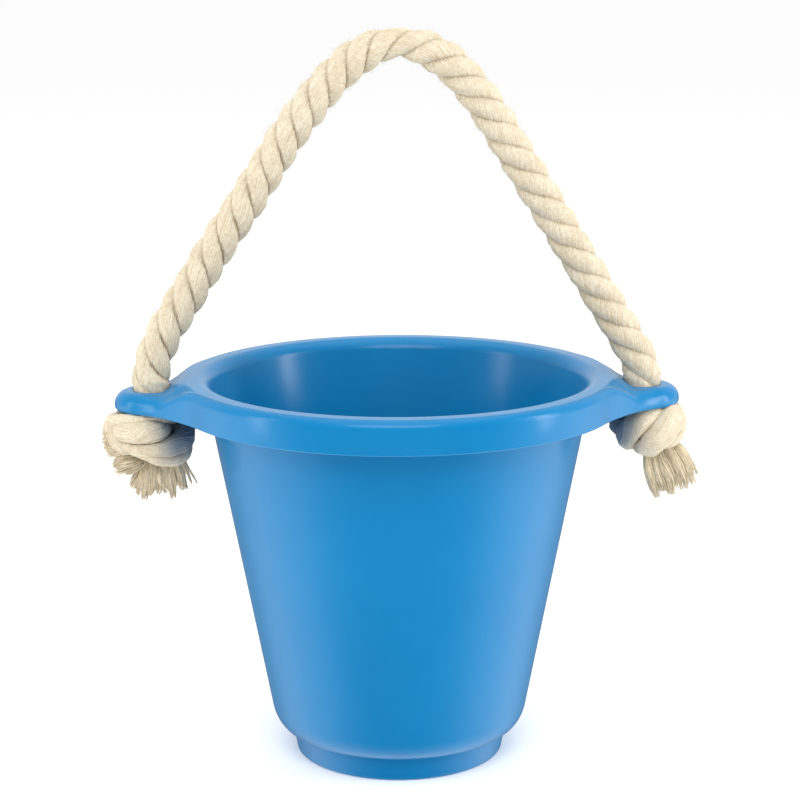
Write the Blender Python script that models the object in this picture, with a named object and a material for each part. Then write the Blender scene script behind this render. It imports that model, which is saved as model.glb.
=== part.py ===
"""Sand bucket with a rope handle.

The object is two pieces: one plastic moulding with an ear on each side, and one thick
laid rope that runs up through both ears and is stopped by a knot under each of them.
The rope is split into the stretches that move with the handle and those that stay.

Frame: metres, origin at the centre of the foot's standing face, +Z up, ears on +X and -X.
"""
import math

import bmesh
import bpy
from mathutils import Vector

# Clearance that neighbouring pieces keep from each other.
GAP = 0.0003

# Moulding: foot, shoulder and tapered wall.
WALL = 0.0022
FOOT_BOTTOM_RADIUS = 0.0400
FOOT_HEIGHT = 0.0095
FOOT_DRAFT = 0.0016
FOOT_EDGE_ROUND = 0.0010
FOOT_RING_WIDTH = 0.0050
FOOT_RECESS = 0.0022
RECESS_DRAFT = 0.0004
SHOULDER_WIDTH = 0.0080
SHOULDER_DEPTH = 0.0125
WALL_RADIUS_AT_BASE = 0.04578
WALL_TAPER = math.radians(10.8)
FLOOR_FILLET = 0.0025

# Moulding: rolled rim with a skirt, open underneath.
RIM_HEIGHT = 0.1477
RIM_RADIUS = 0.0831
RIM_LIP_ROUND = 0.0055
RIM_OUTER_ROUND = 0.0033
SKIRT_BOTTOM = 0.1353
SKIRT_WALL = 0.0024
SKIRT_EDGE_ROUND = 0.0007

# Moulding: ears. Each is a round tip about the rope hole, faired into the rim.
EAR_HOLE_X = 0.0930
EAR_TIP_RADIUS = 0.0140
EAR_BLEND_ANGLE = math.radians(27.5)
EAR_DROP = 0.0049
EAR_OUTER_ROUND = 0.0052
EAR_EDGE_ROUND = 0.0018
SADDLE_LENGTH = 0.0100
HOLE_RADIUS = 0.0069
SLEEVE_RADIUS = 0.0122
SLEEVE_BOTTOM = SKIRT_BOTTOM + GAP
SLEEVE_TOP = RIM_HEIGHT - EAR_DROP - WALL + GAP

# Rope: one route in the plane y = 0, from the top of one ear to the top of the other.
ROPE_RADIUS = 0.00725
NECK_RADIUS = 0.0066
ROPE_ROUTE = [
    (-0.0930, 0.1428), (-0.0932, 0.1480), (-0.0918, 0.1545), (-0.0888, 0.1620), (-0.0850, 0.1690),
    (-0.0803, 0.1762), (-0.0700, 0.1930), (-0.0600, 0.2080), (-0.0500, 0.2231), (-0.0400, 0.2385),
    (-0.0300, 0.2515), (-0.0200, 0.2620), (-0.0100, 0.2688), (0.0008, 0.2712), (0.0110, 0.2688),
    (0.0200, 0.2629), (0.0295, 0.2526), (0.0390, 0.2382), (0.0485, 0.2226), (0.0580, 0.2074),
    (0.0685, 0.1903), (0.0790, 0.1729), (0.0870, 0.1600), (0.0908, 0.1532), (0.0926, 0.1480),
    (0.0930, 0.1428),
]
PIVOT_HEIGHT = 0.1560
ROPE_SPACING = 0.0100
FINE_SPACING = 0.0007
FINE_PER_GUIDE = 10

# Knots and frayed ends: centre x, half sizes along x and y, and heights.
KNOT_TOP = SKIRT_BOTTOM - GAP
KNOT_HALF_DEPTH = 0.0145
KNOTS = {
    "left": {"x": -0.0955, "half_width": 0.0170, "bottom": 0.1130},
    "right": {"x": 0.0957, "half_width": 0.0140, "bottom": 0.1140},
}
TAILS = {
    "left": {"top_x": -0.0940, "end_x": -0.0915, "end_width": 0.0150, "end_depth": 0.0110, "bottom": 0.1010},
    "right": {"top_x": 0.0975, "end_x": 0.1045, "end_width": 0.0095, "end_depth": 0.0080, "bottom": 0.0985},
}
TAIL_TOP_RADIUS = 0.0075
KNOT_SQUARENESS = 2.6
KNOT_FLAT_END = 0.94

# Fineness of the meshes. The first three are steps in direction over a quarter turn: round
# the ear's tip, along its fairing and round the rim.
TIP_STEPS = 5
FAIRING_STEPS = 8
RIM_STEPS = 11
SHOULDER_STEPS = 6
HOLE_SIDES = 32
ROPE_SIDES = 20
ROPE_END_STEPS = 4
CURVE_STEPS = 20
KNOT_LEVELS = 6
TAIL_LEVELS = 4
SHARP_ANGLE = math.radians(35)

# Stations across the rim's top plate and its underside, as shares of their widths.
PLATE_STATIONS = (0.15, 0.22, 0.30, 0.38, 0.46)
UNDERSIDE_STATIONS = (0.0, 0.50, 0.62, 0.74, 0.86, 1.0)


def clear_scene():
    for item in list(bpy.data.objects):
        bpy.data.objects.remove(item, do_unlink=True)


def make_collection(name):
    collection = bpy.data.collections.new(name)
    bpy.context.scene.collection.children.link(collection)
    return collection


def make_material(name, colour, roughness):
    material = bpy.data.materials.new(name)
    material.use_nodes = True
    shader = material.node_tree.nodes["Principled BSDF"]
    shader.inputs["Base Color"].default_value = (*colour, 1.0)
    shader.inputs["Roughness"].default_value = roughness
    shader.inputs["Metallic"].default_value = 0.0
    return material


def arc(centre, radius, start, end, steps):
    """Points on an arc in the (radius, height) plane, from one angle to another in degrees."""
    points = []
    for step in range(steps + 1):
        angle = math.radians(start + (end - start) * step / steps)
        points.append((centre[0] + radius * math.cos(angle), centre[1] + radius * math.sin(angle)))
    return points


def smooth_step(value):
    value = min(max(value, 0.0), 1.0)
    return value * value * (3.0 - 2.0 * value)


def wall_radius(height):
    """Outer radius of the straight tapered wall at a height."""
    return WALL_RADIUS_AT_BASE + height * math.tan(WALL_TAPER)


def fairing_circle():
    """Centre and radius of the hollow arc that runs from the rim's circle to the ear's tip."""
    step_in = RIM_RADIUS - EAR_TIP_RADIUS
    lean = EAR_HOLE_X * math.cos(EAR_BLEND_ANGLE) - step_in
    distance = (EAR_HOLE_X**2 - step_in**2) / (2.0 * lean)
    direction = Vector((math.cos(EAR_BLEND_ANGLE), math.sin(EAR_BLEND_ANGLE)))
    return direction * distance, distance - RIM_RADIUS


def tip_angle():
    """Direction of the point where the ear's round tip meets its hollow fairing."""
    centre, _ = fairing_circle()
    tip_centre = Vector((EAR_HOLE_X, 0.0))
    tangent_point = tip_centre + (centre - tip_centre).normalized() * EAR_TIP_RADIUS
    return math.atan2(tangent_point.y, tangent_point.x)


def rim_edge(angle):
    """Distance from the bucket's axis to the outer edge of the rim or ear along a direction, and
    how much wider the edge's rounding is along it, because the edge is crossed at a slant.
    """
    if angle >= EAR_BLEND_ANGLE:
        return RIM_RADIUS, 1.0
    direction = Vector((math.cos(angle), math.sin(angle)))
    if angle <= tip_angle():
        centre, radius, far_side = Vector((EAR_HOLE_X, 0.0)), EAR_TIP_RADIUS, 1.0
    else:
        centre, radius = fairing_circle()
        far_side = -1.0
    along = centre.dot(direction)
    across = (centre - direction * along).length
    half_chord = math.sqrt(radius**2 - across**2)
    return along + far_side * half_chord, radius / half_chord


def ear_share(reach):
    """How far the section has changed from the rim's to the ear's, from 0 to 1."""
    return smooth_step((reach - RIM_RADIUS) / SADDLE_LENGTH)


def top_height(radius, reach):
    """Height of the rim's top plate, which sinks over a saddle to the ear's lower top."""
    saddle = min(reach - RIM_RADIUS, SADDLE_LENGTH)
    if saddle <= 0.0:
        return RIM_HEIGHT
    saddle_start = RIM_RADIUS - RIM_OUTER_ROUND
    return RIM_HEIGHT - EAR_DROP * ear_share(reach) * smooth_step((radius - saddle_start) / saddle)


def shoulder(inset, steps):
    """Quarter ellipse from the tapered wall in to the foot, set in from the outer surface."""
    width = SHOULDER_WIDTH - inset
    depth = SHOULDER_DEPTH - inset
    centre_height = FOOT_HEIGHT + SHOULDER_DEPTH
    start = math.atan(math.tan(WALL_TAPER) * depth / width)
    start_height = centre_height - depth * math.sin(start)
    centre_radius = wall_radius(start_height) - inset / math.cos(WALL_TAPER) - width * math.cos(start)
    points = []
    for step in range(steps + 1):
        angle = start + (math.pi / 2.0 - start) * step / steps
        points.append((centre_radius + width * math.cos(angle), centre_height - depth * math.sin(angle)))
    return points


def inside_outline():
    """Inside of the bucket, from the middle of the floor up to the rounded lip."""
    floor = FOOT_RECESS + WALL
    foot_inside = FOOT_BOTTOM_RADIUS + FOOT_DRAFT / 2.0 - WALL
    wall_start = list(reversed(shoulder(WALL, SHOULDER_STEPS)))
    points = [(0.0, floor)]
    points += arc((foot_inside - FLOOR_FILLET, floor + FLOOR_FILLET), FLOOR_FILLET, -90, 0, 3)
    points.append((foot_inside + FOOT_DRAFT / 2.0, wall_start[0][1]))
    points += wall_start
    lip_height = RIM_HEIGHT - RIM_LIP_ROUND
    lip_centre = wall_radius(lip_height) + (RIM_LIP_ROUND - WALL) / math.cos(WALL_TAPER)
    points += arc((lip_centre, lip_height), RIM_LIP_ROUND, 180 - math.degrees(WALL_TAPER), 90, 5)
    return points


def rim_outline(reach, slant, lip_end):
    """Top plate, rounded outer edge, skirt and underside, at a direction with this edge."""
    points = []
    outer_round = RIM_OUTER_ROUND + (EAR_OUTER_ROUND - RIM_OUTER_ROUND) * ear_share(reach)
    edge_round = SKIRT_EDGE_ROUND + (EAR_EDGE_ROUND - SKIRT_EDGE_ROUND) * ear_share(reach)
    plate_end = reach - outer_round * slant
    for station in PLATE_STATIONS:
        radius = lip_end + (plate_end - lip_end) * station
        points.append((radius, top_height(radius, reach)))
    for outward, upward in arc((0.0, 0.0), outer_round, 90, 0, 4):
        radius = plate_end + outward * slant
        points.append((radius, top_height(radius, reach) - outer_round + upward))
    for outward, height in arc((-edge_round, SKIRT_BOTTOM + edge_round), edge_round, 0, -90, 2):
        points.append((reach + outward * slant, height))
    skirt_inside = reach - SKIRT_WALL * slant
    points.append((skirt_inside, SKIRT_BOTTOM))
    root = wall_radius(RIM_HEIGHT - WALL)
    for station in UNDERSIDE_STATIONS:
        radius = skirt_inside + (root - skirt_inside) * station
        points.append((radius, top_height(radius, reach) - WALL))
    return points


def outside_outline():
    """Outside of the bucket, from the shoulder down to the middle of the recessed base."""
    points = shoulder(0.0, SHOULDER_STEPS)
    foot_edge = FOOT_BOTTOM_RADIUS - FOOT_EDGE_ROUND
    points += arc((foot_edge, FOOT_EDGE_ROUND), FOOT_EDGE_ROUND, 0, -90, 3)
    ring_inside = FOOT_BOTTOM_RADIUS - FOOT_RING_WIDTH
    points += [(ring_inside, 0.0), (ring_inside - RECESS_DRAFT, FOOT_RECESS), (0.0, FOOT_RECESS)]
    return points


def direction_angles():
    """Directions of the moulding's sections, closer together where an ear curves sharply."""
    tip = tip_angle()
    quarter = [tip * step / TIP_STEPS for step in range(TIP_STEPS)]
    fairing = EAR_BLEND_ANGLE - tip
    quarter += [tip + fairing * step / FAIRING_STEPS for step in range(FAIRING_STEPS)]
    rest = math.pi / 2.0 - EAR_BLEND_ANGLE
    quarter += [EAR_BLEND_ANGLE + rest * step / RIM_STEPS for step in range(RIM_STEPS)]
    half = quarter + [math.pi / 2.0]
    half += [math.pi - angle for angle in reversed(quarter[1:])]
    return half + [math.pi + angle for angle in half]


def add_mesh_object(name, build_mesh, collection, material=None):
    """Wrap a finished bmesh in a mesh object with smooth shading."""
    mesh = bpy.data.meshes.new(name)
    build_mesh.to_mesh(mesh)
    build_mesh.free()
    mesh.shade_smooth()
    mesh.set_sharp_from_angle(angle=SHARP_ANGLE)
    if material:
        mesh.materials.append(material)
    item = bpy.data.objects.new(name, mesh)
    collection.objects.link(item)
    return item


def add_cylinder(name, collection, radius, bottom, top, sign, sides):
    """An upright cylinder on the axis of the left (-1) or right (+1) rope hole."""
    build_mesh = bmesh.new()
    bmesh.ops.create_cone(
        build_mesh, cap_ends=True, segments=sides, radius1=radius, radius2=radius, depth=top - bottom
    )
    cylinder = add_mesh_object(name, build_mesh, collection)
    cylinder.location = (sign * EAR_HOLE_X, 0.0, (top + bottom) / 2.0)
    return cylinder


def add_cutter(name, collection, radius, bottom, top, sign):
    """A cylinder that only shapes another object."""
    cutter = add_cylinder(name, collection, radius, bottom, top, sign, HOLE_SIDES)
    cutter.hide_render = True
    cutter.display_type = "WIRE"
    return cutter


def add_boolean(body, other, operation):
    modifier = body.modifiers.new(f"{operation.lower()}_{other.name}", "BOOLEAN")
    modifier.object = other
    modifier.operation = operation
    modifier.solver = "EXACT"


def build_moulding(collection, cutters, material):
    """Loft the wall's section round the axis, because it changes where the ears stand out."""
    inside = inside_outline()
    outside = outside_outline()
    build_mesh = bmesh.new()
    floor_pole = build_mesh.verts.new((0.0, 0.0, inside[0][1]))
    base_pole = build_mesh.verts.new((0.0, 0.0, outside[-1][1]))
    sections = []
    for angle in direction_angles():
        folded = min(angle % math.pi, math.pi - angle % math.pi)
        reach, slant = rim_edge(folded)
        outline = inside[1:] + rim_outline(reach, slant, inside[-1][0]) + outside[:-1]
        across = Vector((math.cos(angle), math.sin(angle), 0.0))
        sections.append([build_mesh.verts.new(across * r + Vector((0.0, 0.0, z))) for r, z in outline])
    for index, section in enumerate(sections):
        following = sections[(index + 1) % len(sections)]
        build_mesh.faces.new((floor_pole, section[0], following[0]))
        for low in range(len(section) - 1):
            build_mesh.faces.new((section[low], section[low + 1], following[low + 1], following[low]))
        build_mesh.faces.new((base_pole, following[-1], section[-1]))
    bmesh.ops.recalc_face_normals(build_mesh, faces=build_mesh.faces)
    body = add_mesh_object("bucket_body", build_mesh, collection, material)
    for side, sign in (("left", -1), ("right", 1)):
        sleeve = add_cutter(f"{side}_sleeve", cutters, SLEEVE_RADIUS, SLEEVE_BOTTOM, SLEEVE_TOP, sign)
        add_boolean(body, sleeve, "UNION")
        bore = add_cutter(f"{side}_bore", cutters, HOLE_RADIUS, SKIRT_BOTTOM - WALL, RIM_HEIGHT, sign)
        add_boolean(body, bore, "DIFFERENCE")
    return body


def curve_through(points, spacing):
    """Evenly spaced points on a smooth curve through the given points."""
    padded = [2 * points[0] - points[1], *points, 2 * points[-1] - points[-2]]
    fine = []
    for index in range(1, len(padded) - 2):
        before, start, end, after = padded[index - 1:index + 3]
        for step in range(CURVE_STEPS):
            t = step / CURVE_STEPS
            fine.append(0.5 * (
                2 * start + (end - before) * t
                + (2 * before - 5 * start + 4 * end - after) * t**2
                + (3 * start - before - 3 * end + after) * t**3
            ))
    fine.append(points[-1])
    lengths = [0.0]
    for start, end in zip(fine, fine[1:]):
        lengths.append(lengths[-1] + (end - start).length)
    count = round(lengths[-1] / spacing)
    even = []
    index = 0
    for step in range(count + 1):
        target = lengths[-1] * step / count
        while index < len(fine) - 2 and lengths[index + 1] < target:
            index += 1
        share = (target - lengths[index]) / (lengths[index + 1] - lengths[index])
        even.append(fine[index].lerp(fine[index + 1], share))
    return even


def round_end(last, before):
    """Points and radius shares of a tube's round end, from its tip to the end of the line."""
    outward = (last - before).normalized()
    points = []
    for step in range(ROPE_END_STEPS):
        angle = math.pi / 2.0 * (step + 0.5) / ROPE_END_STEPS
        points.append((last + outward * ROPE_RADIUS * math.cos(angle), math.sin(angle)))
    return points


def build_handle(collection, material):
    """The rope above the pivot axis: a tube whose ends are round about that axis."""
    route = [Vector((x, 0.0, z)) for x, z in ROPE_ROUTE]
    fine = [point for point in curve_through(route, FINE_SPACING) if point.z >= PIVOT_HEIGHT]
    middle = curve_through(fine[::FINE_PER_GUIDE] + [fine[-1]], ROPE_SPACING)
    points = round_end(middle[0], middle[1])
    points += [(point, 1.0) for point in middle]
    points += reversed(round_end(middle[-1], middle[-2]))

    pivot = bpy.data.objects.new("handle_pivot", None)
    pivot.location = (0.0, 0.0, PIVOT_HEIGHT)
    collection.objects.link(pivot)
    curve = bpy.data.curves.new("rope_handle", "CURVE")
    curve.dimensions = "3D"
    curve.bevel_depth = ROPE_RADIUS
    curve.bevel_resolution = 3
    curve.use_fill_caps = True
    curve.materials.append(material)
    spline = curve.splines.new("POLY")
    spline.points.add(len(points) - 1)
    spline.use_smooth = True
    for knot, (point, radius) in zip(spline.points, points):
        knot.co = (*(point - pivot.location), 1.0)
        knot.radius = radius
    handle = bpy.data.objects.new("rope_handle", curve)
    handle.parent = pivot
    collection.objects.link(handle)


def ring_loft(name, rings, collection, material):
    """A closed solid through level elliptical rings of (centre x, half x, half y, height)."""
    build_mesh = bmesh.new()
    loops = []
    for centre, half_x, half_y, height in rings:
        loop = []
        for side in range(ROPE_SIDES):
            angle = 2.0 * math.pi * side / ROPE_SIDES
            point = (centre + half_x * math.cos(angle), half_y * math.sin(angle), height)
            loop.append(build_mesh.verts.new(point))
        loops.append(loop)
    for upper, lower in zip(loops, loops[1:]):
        for side in range(ROPE_SIDES):
            turn = (side + 1) % ROPE_SIDES
            build_mesh.faces.new((upper[side], lower[side], lower[turn], upper[turn]))
    build_mesh.faces.new(loops[0])
    build_mesh.faces.new(list(reversed(loops[-1])))
    bmesh.ops.recalc_face_normals(build_mesh, faces=build_mesh.faces)
    return add_mesh_object(name, build_mesh, collection, material)


def build_knot(side, collection, material):
    """A knot as its plain outer shape: a rounded lump with a flat top under the ear."""
    knot = KNOTS[side]
    middle = (KNOT_TOP + knot["bottom"]) / 2.0
    half_height = (KNOT_TOP - knot["bottom"]) / 2.0
    end_angle = math.pi / (KNOT_LEVELS + 2)
    rings = []
    for level in range(KNOT_LEVELS + 1):
        share = math.cos(end_angle * (level + 1)) / math.cos(end_angle)
        bulge = (1.0 - abs(KNOT_FLAT_END * share) ** KNOT_SQUARENESS) ** (1.0 / KNOT_SQUARENESS)
        rings.append((
            knot["x"], knot["half_width"] * bulge, KNOT_HALF_DEPTH * bulge, middle + half_height * share
        ))
    ring_loft(f"rope_knot_{side}", rings, collection, material)


def build_tail(side, collection, material):
    """A frayed rope end as its plain outer shape: a brush that widens downwards."""
    tail = TAILS[side]
    top = KNOTS[side]["bottom"] - GAP
    rings = []
    for level in range(TAIL_LEVELS + 1):
        share = level / TAIL_LEVELS
        spread = math.sin(math.pi / 2.0 * share)
        rings.append((
            tail["top_x"] + (tail["end_x"] - tail["top_x"]) * share,
            TAIL_TOP_RADIUS + (tail["end_width"] - TAIL_TOP_RADIUS) * spread,
            TAIL_TOP_RADIUS + (tail["end_depth"] - TAIL_TOP_RADIUS) * spread,
            top + (tail["bottom"] - top) * share,
        ))
    ring_loft(f"rope_tail_{side}", rings, collection, material)


def main():
    clear_scene()
    parts = make_collection("sand_bucket")
    cutters = make_collection("sand_bucket_cutters")
    blue_plastic = make_material("blue_plastic", (0.012, 0.245, 0.62), 0.42)
    cotton_rope = make_material("cotton_rope", (0.78, 0.66, 0.46), 0.95)
    build_moulding(parts, cutters, blue_plastic)
    build_handle(parts, cotton_rope)
    neck_top = PIVOT_HEIGHT - ROPE_RADIUS - GAP
    for side, sign in (("left", -1), ("right", 1)):
        neck = add_cylinder(
            f"rope_neck_{side}", parts, NECK_RADIUS, KNOT_TOP + GAP, neck_top, sign, ROPE_SIDES
        )
        neck.data.materials.append(cotton_rope)
        build_knot(side, parts, cotton_rope)
        build_tail(side, parts, cotton_rope)


main()
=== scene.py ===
"""Looks of the sand bucket: one satin plastic moulding and one thick laid cotton rope.

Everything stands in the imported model's frame: metres, +Z up, origin at the centre of the
foot's standing face, ears on +X and -X, front towards -Y.
"""
import math

import bmesh
import bpy
import numpy as np
from mathutils import Matrix, Vector, noise


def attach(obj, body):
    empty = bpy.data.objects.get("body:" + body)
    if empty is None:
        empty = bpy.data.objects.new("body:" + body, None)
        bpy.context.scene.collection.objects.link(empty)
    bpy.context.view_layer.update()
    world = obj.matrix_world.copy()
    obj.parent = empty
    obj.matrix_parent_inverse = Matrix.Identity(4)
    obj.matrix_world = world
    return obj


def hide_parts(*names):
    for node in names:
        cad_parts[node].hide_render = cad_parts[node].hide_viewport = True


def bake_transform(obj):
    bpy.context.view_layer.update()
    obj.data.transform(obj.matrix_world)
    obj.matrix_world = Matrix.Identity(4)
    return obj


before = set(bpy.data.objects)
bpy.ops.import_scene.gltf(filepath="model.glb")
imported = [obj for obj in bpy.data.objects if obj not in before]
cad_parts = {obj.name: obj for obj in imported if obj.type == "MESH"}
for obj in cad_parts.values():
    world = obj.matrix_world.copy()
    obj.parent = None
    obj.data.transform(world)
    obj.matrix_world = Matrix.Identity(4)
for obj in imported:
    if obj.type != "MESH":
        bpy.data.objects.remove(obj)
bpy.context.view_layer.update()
rng = np.random.default_rng(7)
noise.seed_set(7)

MM = 0.001
FULL_TURN = 2.0 * math.pi

# Camera: where it stands, and how it is turned.
CAMERA_PLACE = (-0.0340, -0.7944, 0.3095)
CAMERA_YAW = math.radians(-2.5)
CAMERA_PITCH = math.radians(12.216)
CAMERA_ROLL = -0.0035
LENS_MM = 96.51
SENSOR_MM = 36.0

# Rope: the centre line in the plane y = 0, from inside the left knot to inside the right one.
ROPE_ROUTE = [
    (-0.0930, 0.1270), (-0.0930, 0.1350), (-0.0930, 0.1428), (-0.0932, 0.1480), (-0.0918, 0.1545),
    (-0.0888, 0.1620), (-0.0850, 0.1690), (-0.0803, 0.1762), (-0.0700, 0.1930), (-0.0600, 0.2080),
    (-0.0500, 0.2231), (-0.0400, 0.2385), (-0.0300, 0.2515), (-0.0200, 0.2620), (-0.0100, 0.2688),
    (0.0008, 0.2712), (0.0110, 0.2688), (0.0200, 0.2629), (0.0295, 0.2526), (0.0390, 0.2382),
    (0.0485, 0.2226), (0.0580, 0.2074), (0.0685, 0.1903), (0.0790, 0.1729), (0.0870, 0.1600),
    (0.0908, 0.1532), (0.0926, 0.1480), (0.0930, 0.1428), (0.0930, 0.1350), (0.0930, 0.1270),
]
ROPE_EXIT = (-0.0930, 0.0, 0.1428)
ROPE_RING_SPACING = 0.00095
CURVE_STEPS = 24

# Rope: its strands, laid round the centre line. The lay's length changes along the rope.
STRANDS = 3
STRAND_CENTRE = 2.85 * MM
STRAND_RADIAL = 4.25 * MM
STRAND_ACROSS = 4.70 * MM
LAY_SHARES = (0.0, 0.25, 0.45, 0.55, 0.75, 1.0)
LAY_LENGTHS = (0.0330, 0.0310, 0.0285, 0.0290, 0.0345, 0.0350)
APEX_X = 0.0010
APEX_PINCH = 0.23
APEX_PINCH_REACH = 0.0085

# Rope: the squeeze where it passes through an ear.
HOLE_MIDDLE = 0.1430
HOLE_REACH = 0.0050
HOLE_SQUEEZE_RADIUS = 6.75 * MM
HOLE_FREE_ROOM = 2.0 * MM
HOLE_WIDENING = 0.14
HOLE_SWELL = 0.07

# Yarns: grooves, painted shade in the grooves, and how much neighbouring yarns differ in height and tone.
YARNS_PER_STRAND = 28
SAMPLES_PER_YARN = 3
YARN_TURN_SHARES = (1.2, 1.2, 1.5, 1.8, 2.1, 2.1)
YARN_DEPTH = 0.20 * MM
YARN_DEPTH_CHANGE = 0.6
YARN_DEPTH_WAVES = 420.0
YARN_PHASE = 2.3
YARN_LIFT_SPREAD = 0.07 * MM
YARN_TONE_SPREAD = 0.14
GROOVE_SHADE = 0.45
FIBRE_ACROSS = 0.26 * MM
FIBRE_ALONG = 1.9 * MM
LOOSE_FIBRE_ALONG = 2.5 * MM
HAIR_FIBRE = 0.3 * MM
STRAND_FIBRE_SHIFT = 31.0
BAND_FIBRE_SHIFT = 17.0
LOCK_FIBRE_SHIFT = 7.0

# Uneven rope. Waves: size, radians per metre and phase for each strand. Lumps: how far they
# move the surface, how long they are and which seed they have.
YARN_WANDER = ((0.06, 310.0, 2.0), (0.04, 733.0, 1.0))
STRAND_SWELL = ((0.035, 190.0, 2.1), (0.02, 470.0, 1.0))
CREASE_SHADE_PATCHES = ((0.2, 610.0, 2.0),)
ROPE_LUMPS = ((0.22 * MM, 3.4 * MM, 1), (0.13 * MM, 1.2 * MM, 9))
KNOT_LUMPS = ((0.45 * MM, 5.0 * MM, 0), (0.18 * MM, 1.8 * MM, 40))

# Painted shade in the creases between the strands: deeper on the left leg's outer side, fainter on the
# right.
CREASE_SHADE_RADII = (5.95 * MM, 5.40 * MM)
CREASE_SHADE_CHANGE_WIDTH = 30.0 * MM
LEFT_CREASE_SHADE_LEAST = 0.42
LEFT_CREASE_SHADE_START = -0.75
LEFT_CREASE_SHADE_SPAN = 1.1
RIGHT_CREASE_SHADE_LEAST = 0.38
RIGHT_CREASE_SHADE_GAIN = 0.25
RIGHT_CREASE_SHADE_SPAN = 0.9
CREASE_SHADE_LEVEL = 0.8

# Loose hairs. On the rope they grow only from the outer surface.
HAIR_SIDES = 3
HAIR_RINGS = 4
HAIR_RADIUS = 0.052 * MM
HAIR_LENGTHS = (0.8 * MM, 2.6 * MM)
HAIR_STANDING = (0.3, 1.0)
HAIR_SCATTER = 0.6
HAIR_CURL = 0.225
HAIR_TAPER = 0.6
HAIR_ROOT_DEPTH = 0.15 * MM
HAIR_FIRST_SIDE = (0.31, 0.52, 0.79)
FUZZ_TRIES = 9000
FUZZ_SURFACE = 5.6 * MM
KNOT_HAIRS = 900
KNOT_HAIR_REACH = 11.0 * MM
KNOT_HAIR_HEADROOM = 1.5 * MM

# Painted blue-grey shade on the knots under the ears, on the side next to the plastic.
EAR_SHADE_OUTER_X = 0.0935
EAR_SHADE_WIDTH = 0.0110
EAR_SHADE_BOTTOM = 0.1135
EAR_SHADE_RISE = 0.0115
EAR_SHADE_TOP = 0.1353
EAR_SHADE_SHARE = 0.82

# Colours, linear with alpha.
PLASTIC_DEEP = (0.0, 0.168, 0.394, 1.0)
PLASTIC_PALE = (0.0, 0.181, 0.416, 1.0)
COTTON_PALE = (0.715, 0.655, 0.520, 1.0)
COTTON_WARM = (0.585, 0.490, 0.345, 1.0)
COTTON_LOOSE = (0.755, 0.655, 0.465, 1.0)
COTTON_PAINTED_SHADE = (0.240, 0.180, 0.095, 1.0)
COTTON_EAR_SHADE = (0.030, 0.105, 0.185, 1.0)

# Studio: brightness of the surroundings above and below the horizon, the floor, and each
# lamp's place, size and watts.
FRONT_LEVEL = 0.33
LOW_FRONT_LEVEL = 0.02
LOW_SIDE_LEVEL = 2.50
LOW_BACK_SHARE = 0.10
FLOOR_RADIUS = 40.0
FLOOR_GAP = 0.0001
FLOOR_GLOW = 0.18
LAMP_AIM = (0.0, 0.0, 0.12)
LAMPS = (
    ("top_softbox", (0.0, 0.05, 1.30), (1.3, 1.3), 4.4),
    ("key_softbox", (-0.10, -1.00, 1.05), (0.9, 0.7), 9.5),
    ("left_strip", (-1.10, -0.30, 0.30), (0.16, 0.9), 3.6),
    ("right_strip", (1.10, -0.30, 0.30), (0.16, 0.9), 6.6),
)


def make_camera():
    """A camera in front of the bucket that looks a little down at it."""
    data = bpy.data.cameras.new("camera")
    data.sensor_width = SENSOR_MM
    data.lens = LENS_MM
    camera = bpy.data.objects.new("camera", data)
    turn = Matrix.Rotation(CAMERA_YAW, 4, "Z")
    tilt = Matrix.Rotation(math.pi / 2.0 - CAMERA_PITCH, 4, "X")
    roll = Matrix.Rotation(CAMERA_ROLL, 4, "Z")
    camera.matrix_world = Matrix.Translation(CAMERA_PLACE) @ turn @ tilt @ roll
    bpy.context.scene.collection.objects.link(camera)
    bpy.context.scene.camera = camera


# ---------------------------------------------------------------- mesh helpers

def smooth_step(value):
    value = np.clip(value, 0.0, 1.0)
    return value * value * (3.0 - 2.0 * value)


def rise(value, start, end):
    """Smooth rise from 0 to 1 as a value goes from start to end."""
    return smooth_step((value - start) / (end - start))


def smooth_line(points, spacing):
    """Evenly spaced points on a Catmull-Rom curve through the given points, and their lengths along."""
    points = np.array(points, float)
    padded = np.vstack([2 * points[0] - points[1], points, 2 * points[-1] - points[-2]])
    t = np.linspace(0.0, 1.0, CURVE_STEPS, endpoint=False)[:, None]
    spans = []
    for before, start, end, after in zip(padded, padded[1:], padded[2:], padded[3:]):
        spans.append(0.5 * (
            2 * start + (end - before) * t
            + (2 * before - 5 * start + 4 * end - after) * t**2
            + (3 * start - before - 3 * end + after) * t**3
        ))
    fine = np.vstack([*spans, points[-1:]])
    along = np.concatenate([[0.0], np.cumsum(np.linalg.norm(np.diff(fine, axis=0), axis=1))])
    even = np.linspace(0.0, along[-1], max(3, round(along[-1] / spacing) + 1))
    return np.stack([np.interp(even, along, fine[:, k]) for k in range(3)], axis=1), even


def unit(rows):
    return rows / np.maximum(np.linalg.norm(rows, axis=-1, keepdims=True), 1e-12)


def tangents(line):
    return unit(np.gradient(line, axis=0))


def ring_angles(count):
    return FULL_TURN * np.arange(count) / count


def carried_side(line, first):
    """A side direction at each point of a line, carried along it without twist."""
    tangent = tangents(line)
    side = np.empty_like(line)
    current = np.array(first, float)
    for index, direction in enumerate(tangent):
        current = current - direction * current.dot(direction)
        current = current / np.linalg.norm(current)
        side[index] = current
    return side


def tube_faces(rings, around):
    """Quads between neighbouring rings of vertices, and a cap on each end."""
    index = np.arange(rings * around).reshape(rings, around)
    turned = np.roll(index, -1, axis=1)
    quads = np.stack([index[:-1], turned[:-1], turned[1:], index[1:]], axis=-1).reshape(-1, 4)
    return quads.tolist() + [index[0, ::-1].tolist(), index[-1].tolist()]


def swept(line, side, third, across, up):
    """Rings of points round a line, given as distances along two directions carried along it."""
    return line[:, None, :] + across[..., None] * side[:, None, :] + up[..., None] * third[:, None, :]


def ripples(along, waves, seed):
    """Sum of sine waves along a line, each given as its size, radians per metre and phase per seed."""
    return sum(size * np.sin(along * pitch + phase * seed) for size, pitch, phase in waves)


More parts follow.
